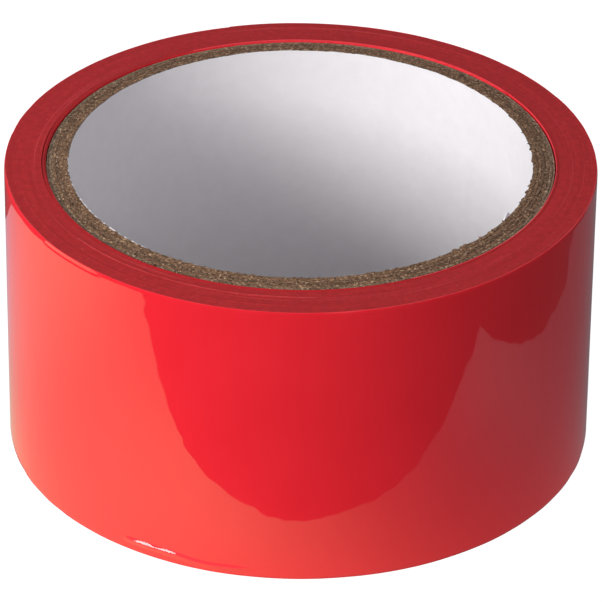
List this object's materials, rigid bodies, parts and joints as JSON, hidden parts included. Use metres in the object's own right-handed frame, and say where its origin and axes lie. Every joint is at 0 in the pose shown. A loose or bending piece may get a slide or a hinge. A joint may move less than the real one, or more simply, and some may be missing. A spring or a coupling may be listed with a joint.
{
  "type": "adhesive tape roll",
  "caption": "Roll of glossy adhesive tape wound on a spiral paperboard core with a white liner, lying on its side face, with a loose end that peels.",
  "frame": {"origin": "on the roll's axis, at the flat side face that it lies on", "axes": "+Z along the roll's axis, up from the side it lies on; +X and +Y across it, with the tape's cut end at 105 degrees counter-clockwise from +X, on the +Y side"},
  "size_m": [0.0971, 0.0971, 0.05],
  "materials": {
    "tape": "gloss",
    "liner": "satin",
    "board": "matte",
    "kraft": "matte"
  },
  "bodies": {
    "roll": {"core_liner": "liner", "core_ply_1": "board", "core_ply_2": "board", "core_ply_3": "board", "core_ply_4": "board", "core_ply_5": "board", "core_wrap": "kraft", "inner_turns": "tape", "wound_turns": "tape", "outer_turn": "tape"},
    "loose_end": {"free_end": "tape"}
  },
  "joints": [
    {"name": "loose_end_peel", "type": "hinge", "parent": "roll", "child": "loose_end", "pos_m": [0.00633, 0.04811, 0.025], "axis": [0, 0, -1], "range_deg": [0, 120]}
  ]
}
